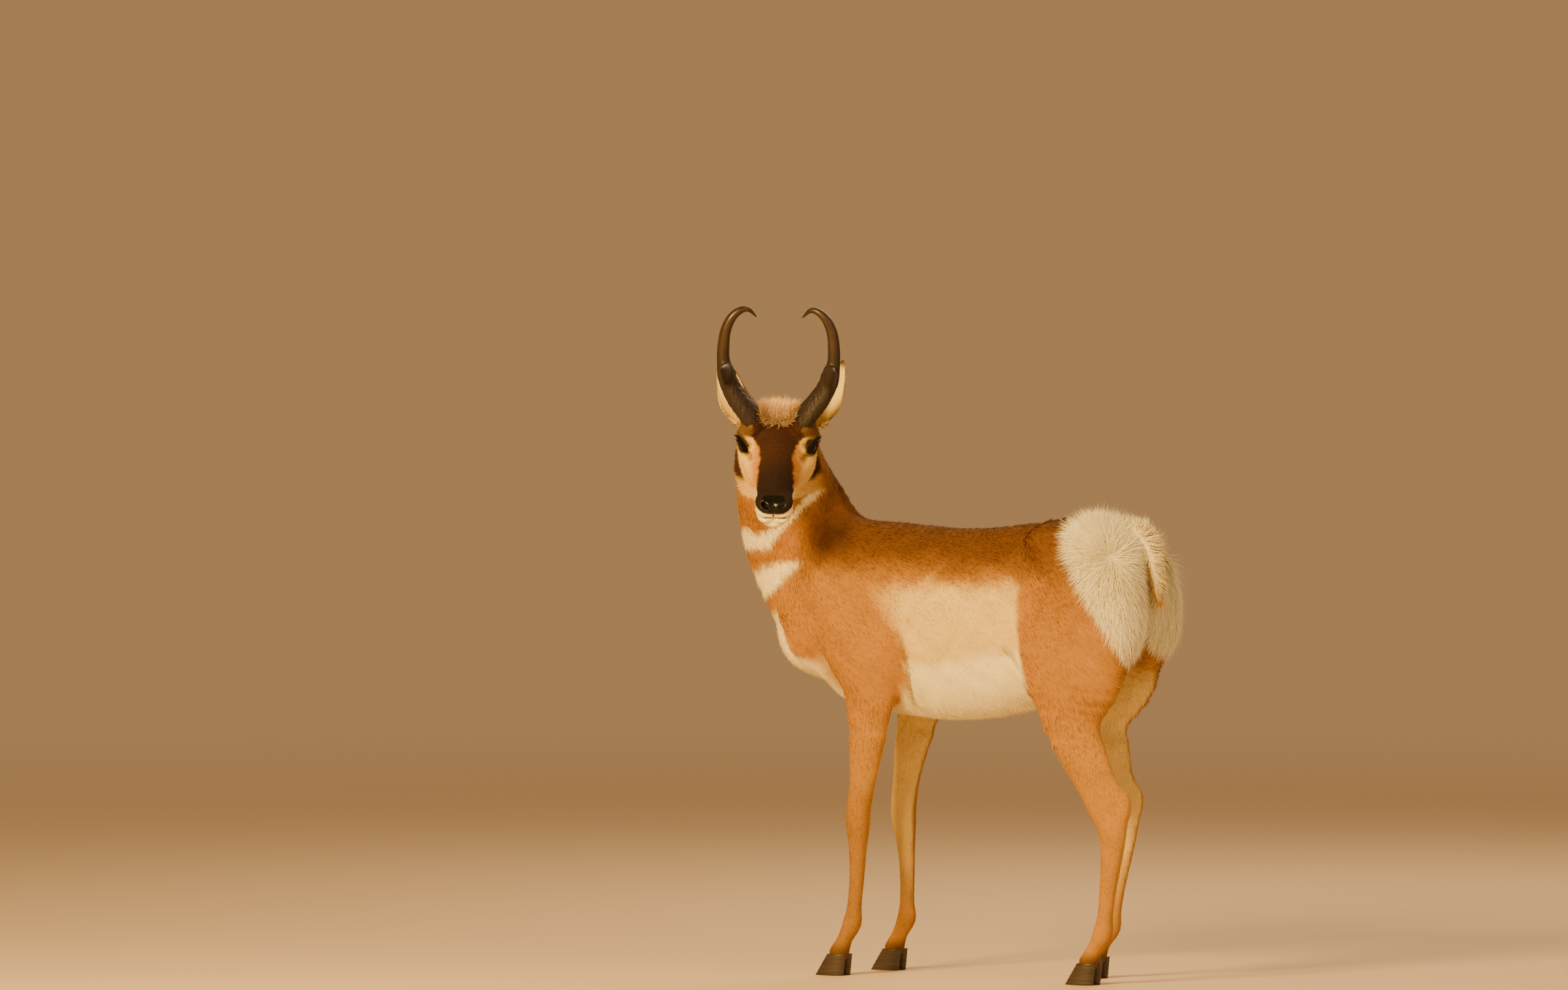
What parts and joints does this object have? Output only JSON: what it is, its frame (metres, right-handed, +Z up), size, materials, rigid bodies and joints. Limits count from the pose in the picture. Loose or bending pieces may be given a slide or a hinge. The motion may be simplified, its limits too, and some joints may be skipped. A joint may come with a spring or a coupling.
{
  "type": "pronghorn",
  "caption": "Life-size still model of a pronghorn buck standing on four hooves and looking back over its left side.",
  "frame": {"origin": "on the floor under the middle of the whole animal", "axes": "+Z up, the body faces -X and its left side is -Y"},
  "size_m": [0.943, 0.5192, 1.3048],
  "materials": {
    "coat": "short flat fur, tan with white markings",
    "white_hair": "long white hair",
    "face": "very short fur with a dark mask",
    "horn": "dark horn, rough below and polished at the tips",
    "hoof": "dark smooth horn",
    "eye": "wet, nearly black"
  },
  "bodies": {
    "root": {"torso": "coat", "rump": "white_hair", "tail": "coat", "neck": "coat", "head": "face", "eye_left": "eye", "horn_left": "horn", "ear_left": "face", "forearm_left": "coat", "fore_foot_left": "coat", "fore_hoof_left_outer": "hoof", "fore_hoof_left_inner": "hoof", "thigh_left": "coat", "shank_left": "coat", "hind_foot_left": "coat", "hind_hoof_left_outer": "hoof", "hind_hoof_left_inner": "hoof", "eye_right": "eye", "horn_right": "horn", "ear_right": "face", "forearm_right": "coat", "fore_foot_right": "coat", "fore_hoof_right_outer": "hoof", "fore_hoof_right_inner": "hoof", "thigh_right": "coat", "shank_right": "coat", "hind_foot_right": "coat", "hind_hoof_right_outer": "hoof", "hind_hoof_right_inner": "hoof"}
  },
  "joints": []
}
